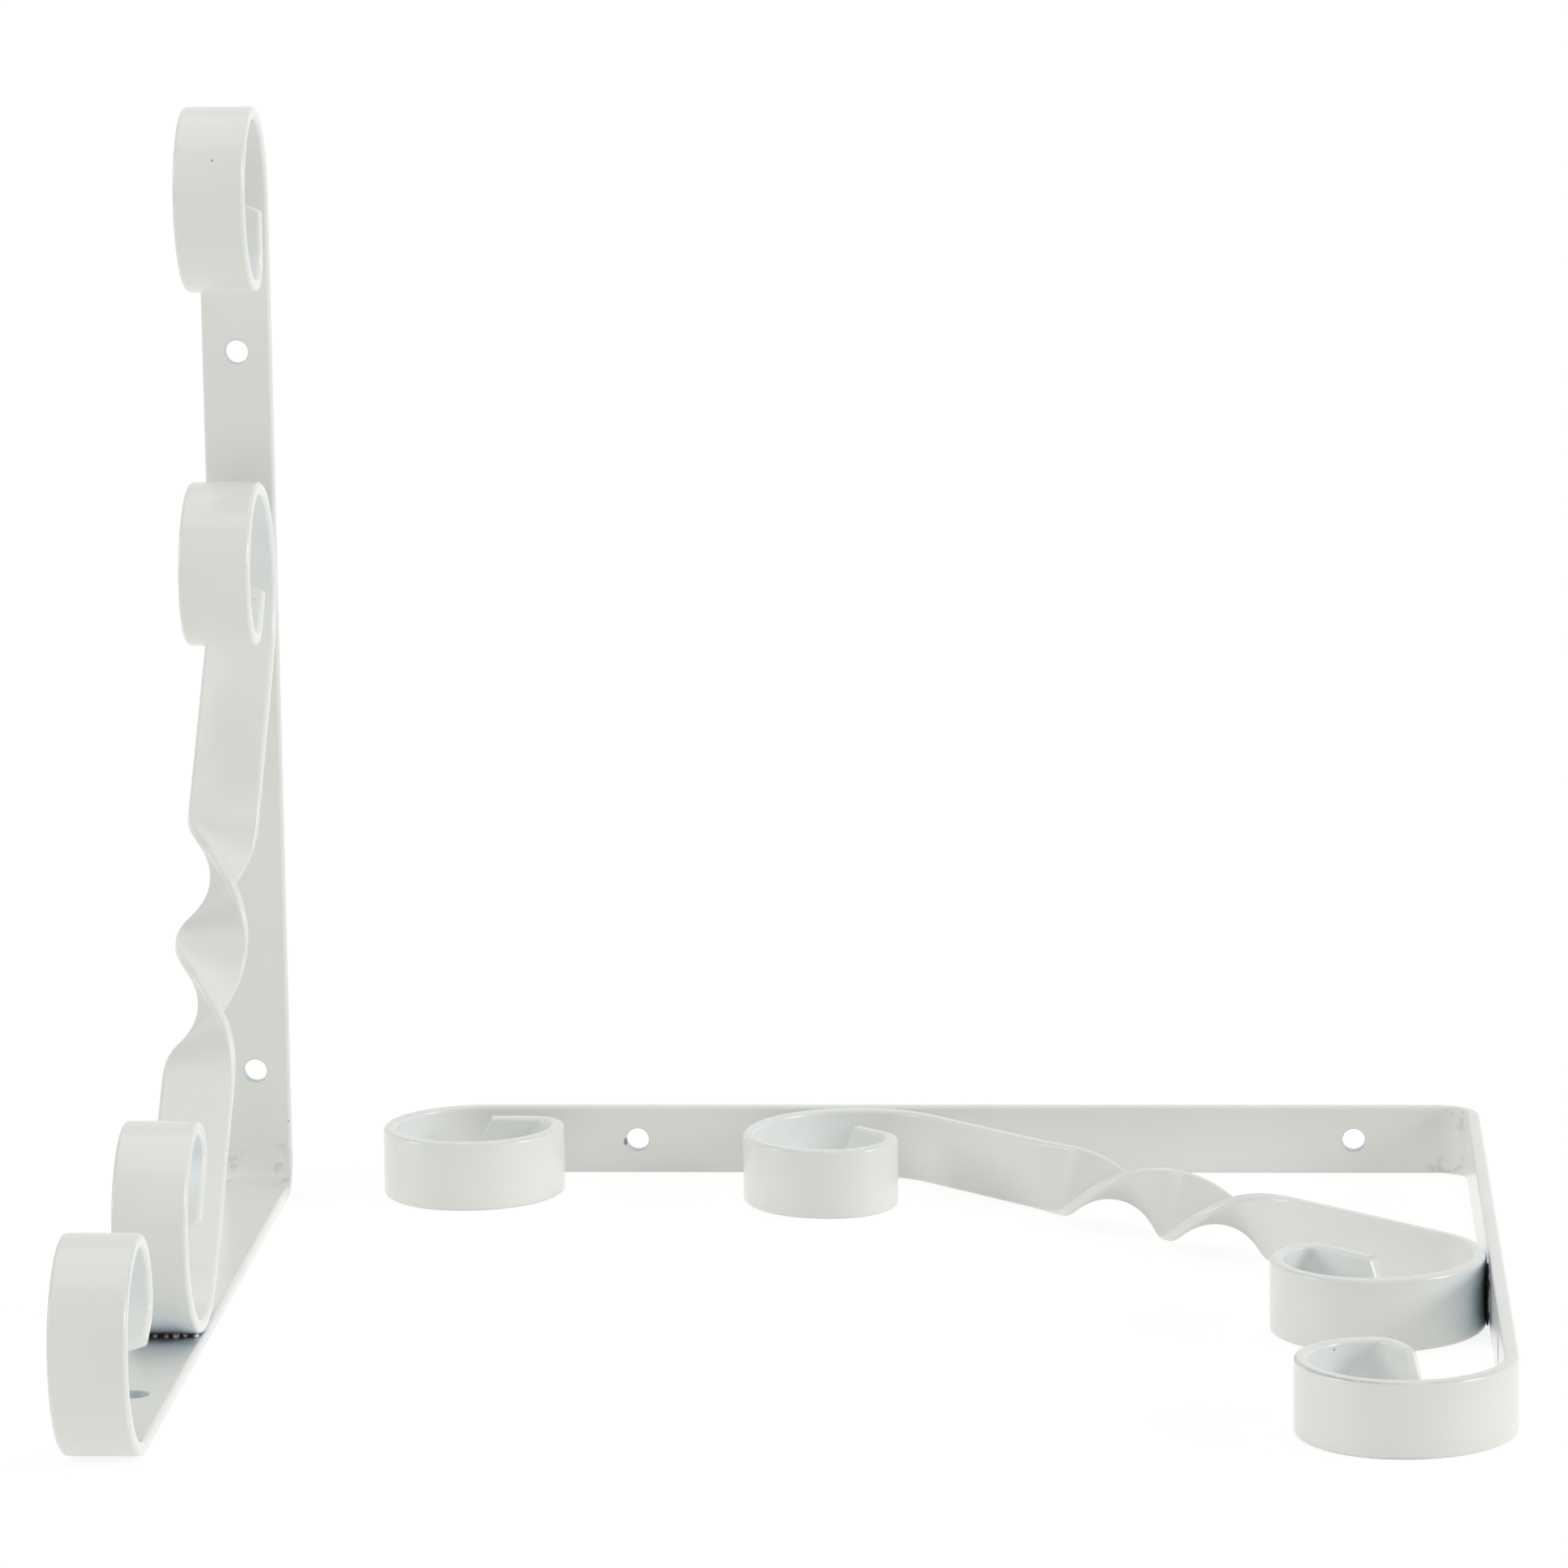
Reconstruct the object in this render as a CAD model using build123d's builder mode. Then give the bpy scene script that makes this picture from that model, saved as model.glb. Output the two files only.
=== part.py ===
from build123d import *
from math import atan2, cos, degrees, radians, sin, sqrt
import os

# A pair of scroll shelf brackets, each bent from flat steel bar: an L-shaped frame bar
# whose two ends curl into scrolls, and a twisted brace bar welded across its corner.
# On a bracket, u runs from the outside corner along the wall leg, v along the shelf arm,
# and s across the bar. One bracket stands on its shelf arm, the other lies on its side.

# Flat bar, before bending; its ends are clipped to a blunt point with a flat middle
bar_width = 16.0
bar_thickness = 3.0
edge_round = 1.0
end_flat = 4.0
end_point = 2.9

# Frame bar, measured to the outside of the bar
wall_leg = 254.0
shelf_arm = 254.0
corner_bend = 10.0

# Scroll at the end of the wall leg: outside radii of its quarter turns, then a straight end
wall_scroll_reach = 22.5
wall_scroll_crown = 20.0
wall_scroll_return = 21.8
wall_scroll_curl = 8.5
wall_scroll_tail = 11.8
wall_scroll_curl_turn = 90.0

# Scroll at the end of the shelf arm
shelf_scroll_reach = 24.0
shelf_scroll_crown = 21.5
shelf_scroll_return = 16.0
shelf_scroll_curl = 7.0
shelf_scroll_tail = 8.6
shelf_scroll_curl_turn = 65.0

# Screw holes, through the middle of the bar
wall_hole_diameter = 5.3
shelf_hole_diameter = 6.5
hole_rim = 0.35
wall_end_hole = 196.6
wall_corner_hole = 29.0
shelf_hole = 196.0

# Brace bar: where it meets the frame, its two scrolls and its twist, nearer to the wall leg
brace_on_wall = 144.5
brace_on_shelf = 144.5
brace_reach = 25.5
brace_wall_crown = 21.0
brace_wall_return = 15.0
brace_wall_curl = 8.0
brace_wall_tail = 12.0
brace_shelf_crown = 20.8
brace_shelf_return = 16.0
brace_shelf_return_turn = 45.0
brace_shelf_curl = 6.0
brace_shelf_tail = 16.6
twist_length = 70.0
twist_turn = -360.0
twist_off_middle = 4.5

# Row of weld beads that bridges the gap between brace and frame, on its side away from the corner
weld_gap = 0.4
bead_lead = 5.0
bead_count = 7
bead_width = 1.1
bead_length = 2.0
bead_margin = 1.1

# Where the lying bracket is from the standing one: room beside it, and how far further back
set_apart = 21.6
set_back = 20.7

# Worked out from the sizes above
half_bar = bar_thickness / 2
end_clip = (bar_width - end_flat) / 2
pair_width = bar_width + set_apart + wall_leg
pair_depth = set_back + shelf_arm
quarter = 90.0
brace_centre_off = bar_thickness + weld_gap + brace_reach
run_du = brace_on_wall - brace_centre_off
run_dv = brace_centre_off - brace_on_shelf
run_length = sqrt(run_du**2 + run_dv**2)
run_angle = degrees(atan2(run_dv, run_du))
wall_flat = (run_length - twist_length) / 2 - twist_off_middle
shelf_flat = run_length - twist_length - wall_flat
run_along = (cos(radians(run_angle)), sin(radians(run_angle)))
run_outwards = (run_along[1], -run_along[0])
bead_pitch = (bar_width - 2 * bead_margin - bead_width) / (bead_count - 1)
twist_radius = edge_round + sqrt((bar_width / 2 - edge_round) ** 2 + (half_bar - edge_round) ** 2)
twist_proud = twist_radius - bar_width / 2
same_length = 1e-4


def run_point(along):
    """Point on the middle line of the brace's straight run, from its shelf end."""
    offset = brace_reach - half_bar
    u = brace_centre_off + run_outwards[0] * offset + run_along[0] * along
    v = brace_on_shelf + run_outwards[1] * offset + run_along[1] * along
    return (u, v)


def scroll(start, heading, turns, tail):
    """Arcs tangent to each other, by outside radius and turn, then a straight end."""
    for outside_radius, turn in turns:
        bend = JernArc(start, heading, outside_radius - half_bar, turn)
        start = bend @ 1
        heading = bend % 1
    Line(start, start + heading * tail)


def bar_section(line, across):
    """Plane square to the start of a bar's middle line, its x axis across the bar."""
    return Plane(origin=line @ 0, x_dir=across, z_dir=line % 0)


def across_thickness(edge):
    """Whether an edge is as long as the bar is thick, as only those of a bar end are."""
    return abs(edge.length - bar_thickness) < same_length


def clip_bar_end(bar, tip):
    """Clip the two corners of the cut bar end at the tip of its middle line."""
    corners = bar.edges().filter_by(across_thickness).sort_by_distance(tip)[:2]
    cut_end = bar.faces().sort_by_distance(tip)[0]
    chamfer(corners, end_clip, end_point, reference=cut_end)


def soften_edges(bar, across):
    """Round the long edges of a bar, leaving the cut where it goes on into a twist."""
    sides = bar.faces().filter_by(Axis((0, 0, 0), across)).edges()
    fillet(sides.filter_by(across_thickness, reverse=True), edge_round)


def hole_edge(edge):
    """Whether a round edge is the rim of a screw hole."""
    radii = (wall_hole_diameter / 2, shelf_hole_diameter / 2)
    return min(abs(edge.radius - radius) for radius in radii) < same_length


def weld_profile(contact, along_wall):
    """Outline of a bead between the frame's inner face and the brace's scroll."""
    spots = (bead_lead - bead_length / 2, bead_lead, bead_lead + bead_length / 2)
    on_frame = [(contact + off, bar_thickness) for off in spots]
    on_brace = [(contact + off, brace_centre_off - sqrt(brace_reach**2 - off**2)) for off in spots]
    outline = [on_frame[0], on_frame[2], on_brace[2], on_brace[1], on_brace[0]]
    return outline if along_wall else [(v, u) for u, v in outline]


# The lying bracket rests on the edges of its twist, which stand a little proud of the bar
standing_corner = (-pair_width / 2, pair_depth / 2 - set_back, 0)
lying_corner = (pair_width / 2, pair_depth / 2, twist_proud)
places = {
    "standing": Plane(origin=standing_corner, x_dir=(0, 0, 1), z_dir=(1, 0, 0)),
    "lying": Plane(origin=lying_corner, x_dir=(-1, 0, 0), z_dir=(0, 0, 1)),
}

os.makedirs("parts", exist_ok=True)

# Twisted stretch of a brace, upright on its own
with BuildSketch() as twist_section:
    RectangleRounded(bar_width, bar_thickness, edge_round)
twist_rise = (0, 0, twist_length)
twist = Solid.extrude_linear_with_rotation(twist_section.face(), (0, 0, 0), twist_rise, twist_turn)

for name, place in places.items():
    middle = place.offset(bar_width / 2)
    across = place.z_dir
    wall_face = Plane(origin=middle.origin, x_dir=place.x_dir, z_dir=-place.y_dir)
    shelf_face = Plane(origin=middle.origin, x_dir=place.y_dir, z_dir=-place.x_dir)

    # Frame bar: wall leg, corner bend and shelf arm in one piece, a scroll at each end
    with BuildPart() as frame_bar:
        with BuildLine(middle) as frame_line:
            leg = Line((corner_bend, half_bar), (wall_leg - wall_scroll_reach, half_bar))
            arm = Line((half_bar, corner_bend), (half_bar, shelf_arm - shelf_scroll_reach))
            JernArc(leg @ 0, (-1, 0), corner_bend - half_bar, -quarter)
            wall_turns = [
                (wall_scroll_reach, quarter),
                (wall_scroll_crown, quarter),
                (wall_scroll_return, quarter),
                (wall_scroll_curl, wall_scroll_curl_turn),
            ]
            scroll(leg @ 1, leg % 1, wall_turns, wall_scroll_tail)
            shelf_turns = [
                (shelf_scroll_reach, -quarter),
                (shelf_scroll_crown, -quarter),
                (shelf_scroll_return, -quarter),
                (shelf_scroll_curl, -shelf_scroll_curl_turn),
            ]
            scroll(arm @ 1, arm % 1, shelf_turns, shelf_scroll_tail)
        frame_path = frame_line.wire()
        with BuildSketch(bar_section(frame_path, across)):
            Rectangle(bar_width, bar_thickness)
        sweep(path=frame_path)
        clip_bar_end(frame_bar, frame_path @ 0)
        clip_bar_end(frame_bar, frame_path @ 1)
        soften_edges(frame_bar, across)
        with Locations(wall_face):
            with Locations((wall_end_hole, 0), (wall_corner_hole, 0)):
                Hole(wall_hole_diameter / 2, depth=bar_thickness)
        with Locations(shelf_face):
            with Locations((shelf_hole, 0)):
                Hole(shelf_hole_diameter / 2, depth=bar_thickness)
        rims = frame_bar.edges().filter_by(GeomType.CIRCLE).filter_by(hole_edge)
        fillet(rims, hole_rim)
    frame_bar.part.label = name + "_frame_bar"
    export_step(frame_bar.part, "parts/" + name + "_frame_bar.step")

    # Brace bar: a scroll at each end of a straight run with one full twist in its middle
    with BuildPart() as wall_half:
        with BuildLine(middle) as wall_line:
            flat = Line(run_point(run_length - wall_flat), run_point(run_length))
            brace_wall_turns = [
                (brace_reach, quarter - run_angle),
                (brace_wall_crown, quarter),
                (brace_wall_return, quarter),
                (brace_wall_curl, quarter + run_angle),
            ]
            scroll(flat @ 1, flat % 1, brace_wall_turns, brace_wall_tail)
        wall_path = wall_line.wire()
        with BuildSketch(bar_section(wall_path, across)):
            Rectangle(bar_width, bar_thickness)
        sweep(path=wall_path)
        clip_bar_end(wall_half, wall_path @ 1)
        soften_edges(wall_half, across)

    with BuildPart() as shelf_half:
        with BuildLine(middle) as shelf_line:
            flat = Line(run_point(shelf_flat), run_point(0))
            brace_shelf_turns = [
                (brace_reach, -2 * quarter - run_angle),
                (brace_shelf_crown, -quarter),
                (brace_shelf_return, -brace_shelf_return_turn),
                (brace_shelf_curl, run_angle + brace_shelf_return_turn - quarter),
            ]
            scroll(flat @ 1, flat % 1, brace_shelf_turns, brace_shelf_tail)
        shelf_path = shelf_line.wire()
        with BuildSketch(bar_section(shelf_path, across)):
            Rectangle(bar_width, bar_thickness)
        sweep(path=shelf_path)
        clip_bar_end(shelf_half, shelf_path @ 1)
        soften_edges(shelf_half, across)

    twist_foot = Plane(origin=shelf_path @ 0, x_dir=across, z_dir=wall_path % 0)
    with BuildPart() as brace_bar:
        add(twist.moved(Location(twist_foot)))
        add(wall_half.part)
        add(shelf_half.part)
    brace_bar.part.label = name + "_brace_bar"
    export_step(brace_bar.part, "parts/" + name + "_brace_bar.step")

    # Weld beads: a short row across the bar where the brace meets each side of the frame
    for side, contact in (("wall", brace_on_wall), ("shelf", brace_on_shelf)):
        with BuildPart() as weld:
            for bead in range(bead_count):
                bead_middle = bar_width / 2 + (bead - (bead_count - 1) / 2) * bead_pitch
                with BuildSketch(place.offset(bead_middle - bead_width / 2)):
                    with BuildLine():
                        corners = weld_profile(contact, side == "wall")
                        Polyline(corners[4], corners[0], corners[1], corners[2])
                        ThreePointArc(corners[2], corners[3], corners[4])
                    make_face()
                extrude(amount=bead_width)
        weld.part.label = name + "_" + side + "_weld"
        export_step(weld.part, "parts/" + name + "_" + side + "_weld.step")
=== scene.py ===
import math

import bpy
from bpy.props import FloatProperty, FloatVectorProperty, IntProperty, PointerProperty
from bpy.types import Operator, Panel, PropertyGroup
from mathutils import Matrix, Vector


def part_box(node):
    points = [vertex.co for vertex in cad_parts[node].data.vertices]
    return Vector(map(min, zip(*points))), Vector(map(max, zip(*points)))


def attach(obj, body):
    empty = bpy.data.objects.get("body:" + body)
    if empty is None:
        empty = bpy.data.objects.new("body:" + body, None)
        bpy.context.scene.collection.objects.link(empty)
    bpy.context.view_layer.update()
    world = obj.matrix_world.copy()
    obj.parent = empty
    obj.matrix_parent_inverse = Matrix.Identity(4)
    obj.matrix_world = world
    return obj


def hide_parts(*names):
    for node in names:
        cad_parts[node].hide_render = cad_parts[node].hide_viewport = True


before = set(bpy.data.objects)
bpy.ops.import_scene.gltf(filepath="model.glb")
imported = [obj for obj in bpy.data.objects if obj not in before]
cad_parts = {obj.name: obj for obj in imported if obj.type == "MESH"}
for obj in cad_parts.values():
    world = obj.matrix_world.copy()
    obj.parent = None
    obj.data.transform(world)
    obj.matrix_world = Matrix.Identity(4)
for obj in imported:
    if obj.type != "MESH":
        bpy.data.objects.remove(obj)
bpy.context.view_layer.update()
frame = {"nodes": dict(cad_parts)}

bl_info = {
    "name": "Scroll shelf brackets",
    "version": (1, 0, 0),
    "blender": (4, 5, 0),
    "location": "3D View > Sidebar > Brackets",
    "description": "Dresses a pair of scroll shelf brackets in white powder coat",
    "category": "Object",
}

MM = 0.001
QUARTER = math.pi / 2


# Sizes and colours that a user would change

class BarSizes(PropertyGroup):
    """Flat bar that frame and brace are bent from."""

    width: FloatProperty(name="Width", description="Width of the flat bar", default=16 * MM, unit="LENGTH")
    thickness: FloatProperty(
        name="Thickness", description="Thickness of the flat bar", default=3 * MM, unit="LENGTH"
    )
    edge_round: FloatProperty(
        name="Edge rounding", description="Radius of the coated long edges", default=1 * MM, unit="LENGTH"
    )
    end_flat: FloatProperty(
        name="End flat", description="Flat middle of the clipped bar ends", default=4 * MM, unit="LENGTH"
    )
    end_point: FloatProperty(
        name="End point", description="Reach of the clipped corners", default=2.9 * MM, unit="LENGTH"
    )
    end_round: FloatProperty(
        name="End rounding", description="Softness of the ends' edges", default=0.3 * MM, unit="LENGTH"
    )


class FrameSizes(PropertyGroup):
    """L-shaped frame bar with a scroll at each end, measured to the outside of the bar."""

    wall_leg: FloatProperty(
        name="Wall leg", description="Corner to the wall scroll's far side", default=254 * MM, unit="LENGTH"
    )
    shelf_arm: FloatProperty(
        name="Shelf arm", description="Corner to the shelf scroll's far side", default=254 * MM, unit="LENGTH"
    )
    corner_bend: FloatProperty(
        name="Corner bend", description="Outside radius of the bend", default=10 * MM, unit="LENGTH"
    )
    wall_scroll: FloatVectorProperty(
        name="Wall scroll", description="Outside radii of the wall scroll's turns", size=4,
        default=(22.5 * MM, 20 * MM, 21.8 * MM, 8.5 * MM),
        unit="LENGTH",
    )
    wall_tail: FloatProperty(
        name="Wall scroll end", description="Straight end of that scroll", default=11.8 * MM, unit="LENGTH"
    )
    shelf_scroll: FloatVectorProperty(
        name="Shelf scroll", description="Outside radii of the shelf scroll's turns", size=4,
        default=(24 * MM, 21.5 * MM, 16 * MM, 7 * MM),
        unit="LENGTH",
    )
    shelf_curl: FloatProperty(
        name="Shelf curl", description="Last turn of that scroll", default=math.radians(65), unit="ROTATION"
    )
    shelf_tail: FloatProperty(
        name="Shelf scroll end", description="Straight end of that scroll", default=8.6 * MM, unit="LENGTH"
    )
    wall_hole_size: FloatProperty(
        name="Wall screw hole", description="Diameter of the leg's holes", default=5.3 * MM, unit="LENGTH"
    )
    shelf_hole_size: FloatProperty(
        name="Shelf screw hole", description="Diameter of the arm's hole", default=6.5 * MM, unit="LENGTH"
    )
    hole_rim: FloatProperty(
        name="Hole rim", description="Radius of the coated hole rims", default=0.35 * MM, unit="LENGTH"
    )
    wall_holes: FloatVectorProperty(
        name="Wall holes", description="Corner to the screw holes in the wall leg", size=2,
        default=(29 * MM, 196.6 * MM),
        unit="LENGTH",
    )
    shelf_hole: FloatProperty(
        name="Shelf hole", description="Corner to the arm's screw hole", default=196 * MM, unit="LENGTH"
    )


class BraceSizes(PropertyGroup):
    """Twisted brace bar with a scroll at each end."""

    on_wall: FloatProperty(
        name="On the wall leg", description="Corner to the brace on it", default=144.5 * MM, unit="LENGTH"
    )
    on_shelf: FloatProperty(
        name="On the shelf arm", description="Corner to the brace on it", default=144.5 * MM, unit="LENGTH"
    )
    reach: FloatProperty(
        name="First turn", description="Outside radius where both start", default=25.5 * MM, unit="LENGTH"
    )
    wall_scroll: FloatVectorProperty(
        name="Wall-side scroll", description="Outside radii of its later turns", size=3,
        default=(21 * MM, 15 * MM, 8 * MM),
        unit="LENGTH",
    )
    wall_tail: FloatProperty(
        name="Wall-side end", description="Straight end of that scroll", default=12 * MM, unit="LENGTH"
    )
    shelf_scroll: FloatVectorProperty(
        name="Shelf-side scroll", description="Outside radii of its later turns", size=3,
        default=(20.8 * MM, 16 * MM, 6 * MM),
        unit="LENGTH",
    )
    shelf_return: FloatProperty(
        name="Shelf return", description="Turn before the last", default=math.radians(45), unit="ROTATION"
    )
    shelf_tail: FloatProperty(
        name="Shelf-side end", description="Straight end of that scroll", default=16.6 * MM, unit="LENGTH"
    )
    twist_length: FloatProperty(
        name="Twist length", description="Length of the twisted stretch", default=82 * MM, unit="LENGTH"
    )
    twist_off_middle: FloatProperty(
        name="Twist off middle", description="Nearer to the wall leg by", default=4.5 * MM, unit="LENGTH"
    )
    twist_turn: FloatProperty(
        name="Twist", description="Turn over the twisted stretch", default=-2 * math.pi, unit="ROTATION"
    )


class WeldSizes(PropertyGroup):
    """Row of weld beads between brace and frame."""

    gap: FloatProperty(
        name="Gap", description="Gap that the beads bridge", default=0.4 * MM, unit="LENGTH"
    )
    lead: FloatProperty(
        name="Lead", description="Contact to the row of beads", default=5 * MM, unit="LENGTH"
    )
    count: IntProperty(name="Beads", description="Beads in a row across the bar", default=7, min=1)
    margin: FloatProperty(
        name="Margin", description="Bar edge to the first bead", default=1.1 * MM, unit="LENGTH"
    )
    bead: FloatVectorProperty(
        name="Bead", description="Length, width and height of a bead", size=3,
        default=(2 * MM, 1.1 * MM, 1 * MM),
        unit="LENGTH",
    )
    seed: IntProperty(name="Seed", description="Choice of bead sizes", default=4)


class CoatLook(PropertyGroup):
    """Colours of the powder coat and its flaws, and of the light and shade painted on it."""

    coat: FloatVectorProperty(
        name="Coat", description="White powder coat", subtype="COLOR", default=(0.86, 0.873, 0.835)
    )
    # Thin coat inside the scrolls, lighter and bluer than the coat: partly painted light
    thin_coat_and_light: FloatVectorProperty(
        name="Thin coat", description="Coat inside the scrolls", subtype="COLOR", default=(0.89, 0.955, 1.0)
    )
    # Painted bluish shade in the crevices round the welds and in the screw holes
    painted_blue_shade: FloatVectorProperty(
        name="Weld haze", description="Coat round the welds", subtype="COLOR", default=(0.66, 0.785, 0.89)
    )
    # Near-black for the weld crevices: partly unpainted steel, partly painted shade
    bare_and_shade: FloatVectorProperty(
        name="Bare steel", description="Steel in the gaps", subtype="COLOR", default=(0.022, 0.026, 0.03)
    )
    bead: FloatVectorProperty(
        name="Beads", description="Steel of the weld beads", subtype="COLOR", default=(0.95, 0.95, 0.93)
    )
    scuff: FloatVectorProperty(
        name="Scuffs", description="Grey rub marks on the edges", subtype="COLOR", default=(0.34, 0.33, 0.31)
    )
    roughness: FloatProperty(
        name="Roughness", description="Satin finish of the coat", default=0.2, min=0, max=1, subtype="FACTOR"
    )


class StageLook(PropertyGroup):
    """Floor and light."""

    floor: FloatVectorProperty(
        name="Floor", description="Colour of the floor", subtype="COLOR", default=(0.9, 0.9, 0.89)
    )
    ambient: FloatProperty(name="Ambient", description="Light from all round", default=0.42)
    left: FloatProperty(name="Left light", description="Strength of the left light", default=0.65)
    right: FloatProperty(name="Right light", description="Strength of the right light", default=1.0)
    top: FloatProperty(name="Top light", description="Strength of the top light", default=0.58)


class BracketSettings(PropertyGroup):
    """All settings of the pair."""

    bar: PointerProperty(type=BarSizes)
    frame: PointerProperty(type=FrameSizes)
    brace: PointerProperty(type=BraceSizes)
    weld: PointerProperty(type=WeldSizes)
    look: PointerProperty(type=CoatLook)
    stage: PointerProperty(type=StageLook)


# Where the two brackets are

class Place:
    """A bracket's outside corner and the ways its wall leg, shelf arm and bar width run."""

    def __init__(self, name, corner, along_wall, along_shelf, across):
        self.name = name
        self.body = name + "_bracket"
        self.corner = Vector(corner)
        self.along_wall = Vector(along_wall)
        self.along_shelf = Vector(along_shelf)
        self.across = Vector(across)

    def at(self, u, v, s):
        """Point by its way along the wall leg, along the shelf arm and across the bar."""
        return self.corner + self.along_wall * u + self.along_shelf * v + self.across * s


def bracket_places():
    """The standing and the lying bracket, from the boxes of their frame bars."""
    low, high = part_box("standing_frame_bar")
    standing = Place("standing", (low.x, high.y, low.z), (0, 0, 1), (0, -1, 0), (1, 0, 0))
    low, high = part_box("lying_frame_bar")
    lying = Place("lying", (high.x, high.y, low.z), (-1, 0, 0), (0, -1, 0), (0, 0, 1))
    return standing, lying


# Middle lines of the bars

ARC_STEP = math.radians(3)
TIP_STEPS = 10
LEG_STEPS = 24
TWIST_STEPS = 140
EDGE_STEPS = 4
TWIST_EASE = 0.17


class MiddleLine:
    """Points of a bar's middle line in the plane of the bracket, with the bar's tilt at each."""

    def __init__(self, start, heading, half_bar):
        self.points = [(start[0], start[1], 0.0)]
        self.heading = heading
        self.half_bar = half_bar

    def straight(self, length, steps=1):
        """A straight stretch, in one step or more."""
        part = length / steps
        for _ in range(steps):
            u, v, tilt = self.points[-1]
            self.points.append((u + math.cos(self.heading) * part, v + math.sin(self.heading) * part, tilt))

    def turn(self, outside_radius, angle):
        """An arc by the radius of the bar's outside; a positive angle turns to the left."""
        radius = outside_radius - self.half_bar
        u, v, tilt = self.points[-1]
        side = math.copysign(1, angle)
        centre_u = u - side * radius * math.sin(self.heading)
        centre_v = v + side * radius * math.cos(self.heading)
        steps = max(3, math.ceil(abs(angle) / ARC_STEP))
        for step in range(1, steps + 1):
            heading = self.heading + angle * step / steps
            point_u = centre_u + side * radius * math.sin(heading)
            point_v = centre_v - side * radius * math.cos(heading)
            self.points.append((point_u, point_v, tilt))
        self.heading += angle

    def tip(self, length, point):
        """A straight end, with points closer and closer together along its clipped corners."""
        self.straight(length - point)
        for step in range(TIP_STEPS):
            here = math.sin(QUARTER * step / TIP_STEPS)
            there = math.sin(QUARTER * (step + 1) / TIP_STEPS)
            self.straight(point * (there - here))

    def twist(self, length, angle):
        """A straight stretch along which the bar turns about its middle line, eased at both ends."""
        part = length / TWIST_STEPS
        start = self.points[-1][2]
        for step in range(1, TWIST_STEPS + 1):
            self.straight(part)
            u, v, _ = self.points[-1]
            self.points[-1] = (u, v, start + angle * eased(step / TWIST_STEPS))

    def length(self):
        """Length of the line so far."""
        pairs = zip(self.points, self.points[1:])
        return sum(math.dist(a[:2], b[:2]) for a, b in pairs)


def eased(way):
    """Share of a turn done at a share of the way, at a steady rate but for soft ends."""
    full = 1 - TWIST_EASE
    if way < TWIST_EASE:
        return way**2 / (2 * TWIST_EASE * full)
    if way > full:
        return 1 - (1 - way) ** 2 / (2 * TWIST_EASE * full)
    return (way - TWIST_EASE / 2) / full


def joined(first, rest, to_scroll):
    """Points of two lines from one foot, and the lengths of the first scroll, of the last one and of all."""
    lengths = (first.length(), rest.length() - to_scroll, first.length() + rest.length())
    return list(reversed(first.points)) + rest.points[1:], lengths


def frame_line(sizes, bar):
    """Middle line of the frame bar, from the tip of the wall scroll to that of the shelf scroll."""
    half_bar = bar.thickness / 2
    wall = MiddleLine((sizes.wall_leg - sizes.wall_scroll[0], half_bar), 0.0, half_bar)
    for radius in sizes.wall_scroll:
        wall.turn(radius, QUARTER)
    wall.tip(sizes.wall_tail, bar.end_point)
    rest = MiddleLine((sizes.wall_leg - sizes.wall_scroll[0], half_bar), math.pi, half_bar)
    rest.straight(sizes.wall_leg - sizes.wall_scroll[0] - sizes.corner_bend, LEG_STEPS)
    rest.turn(sizes.corner_bend, -QUARTER)
    rest.straight(sizes.shelf_arm - sizes.shelf_scroll[0] - sizes.corner_bend, LEG_STEPS)
    to_scroll = rest.length()
    for radius in sizes.shelf_scroll[:3]:
        rest.turn(radius, -QUARTER)
    rest.turn(sizes.shelf_scroll[3], -sizes.shelf_curl)
    rest.tip(sizes.shelf_tail, bar.end_point)
    return joined(wall, rest, to_scroll)


def brace_line(sizes, bar, weld):
    """Middle line of the brace bar, from the tip on the shelf side to that on the wall side."""
    half_bar = bar.thickness / 2
    centre_off = bar.thickness + weld.gap + sizes.reach
    run_u = sizes.on_wall - centre_off
    run_v = centre_off - sizes.on_shelf
    run_length = math.hypot(run_u, run_v)
    run_angle = math.atan2(run_v, run_u)
    wall_flat = (run_length - sizes.twist_length) / 2 - sizes.twist_off_middle
    offset = sizes.reach - half_bar
    foot = (centre_off + math.sin(run_angle) * offset, sizes.on_shelf - math.cos(run_angle) * offset)
    shelf = MiddleLine(foot, run_angle + math.pi, half_bar)
    shelf.turn(sizes.reach, -math.pi - run_angle)
    shelf.turn(sizes.shelf_scroll[0], -QUARTER)
    shelf.turn(sizes.shelf_scroll[1], -sizes.shelf_return)
    shelf.turn(sizes.shelf_scroll[2], run_angle + sizes.shelf_return - QUARTER)
    shelf.tip(sizes.shelf_tail, bar.end_point)
    wall = MiddleLine(foot, run_angle, half_bar)
    wall.straight(run_length - sizes.twist_length - wall_flat)
    wall.twist(sizes.twist_length, sizes.twist_turn)
    wall.straight(wall_flat)
    to_scroll = wall.length()
    wall.turn(sizes.reach, QUARTER - run_angle)
    wall.turn(sizes.wall_scroll[0], QUARTER)
    wall.turn(sizes.wall_scroll[1], QUARTER)
    wall.turn(sizes.wall_scroll[2], QUARTER + run_angle)
    wall.tip(sizes.wall_tail, bar.end_point)
    return joined(shelf, wall, to_scroll)


def line_object(name, place, points, middle):
    """A poly curve object through the points, in the middle of the bar's width."""
    curve = bpy.data.curves.new(name, "CURVE")
    curve.dimensions = "3D"
    spline = curve.splines.new("POLY")
    spline.points.add(len(points) - 1)
    for target, (u, v, tilt) in zip(spline.points, points):
        target.co = (*place.at(u, v, middle), 1)
        target.tilt = tilt
    line = bpy.data.objects.new(name, curve)
    bpy.context.scene.collection.objects.link(line)
    return line


# Node writing, for shaders and for geometry

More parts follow.
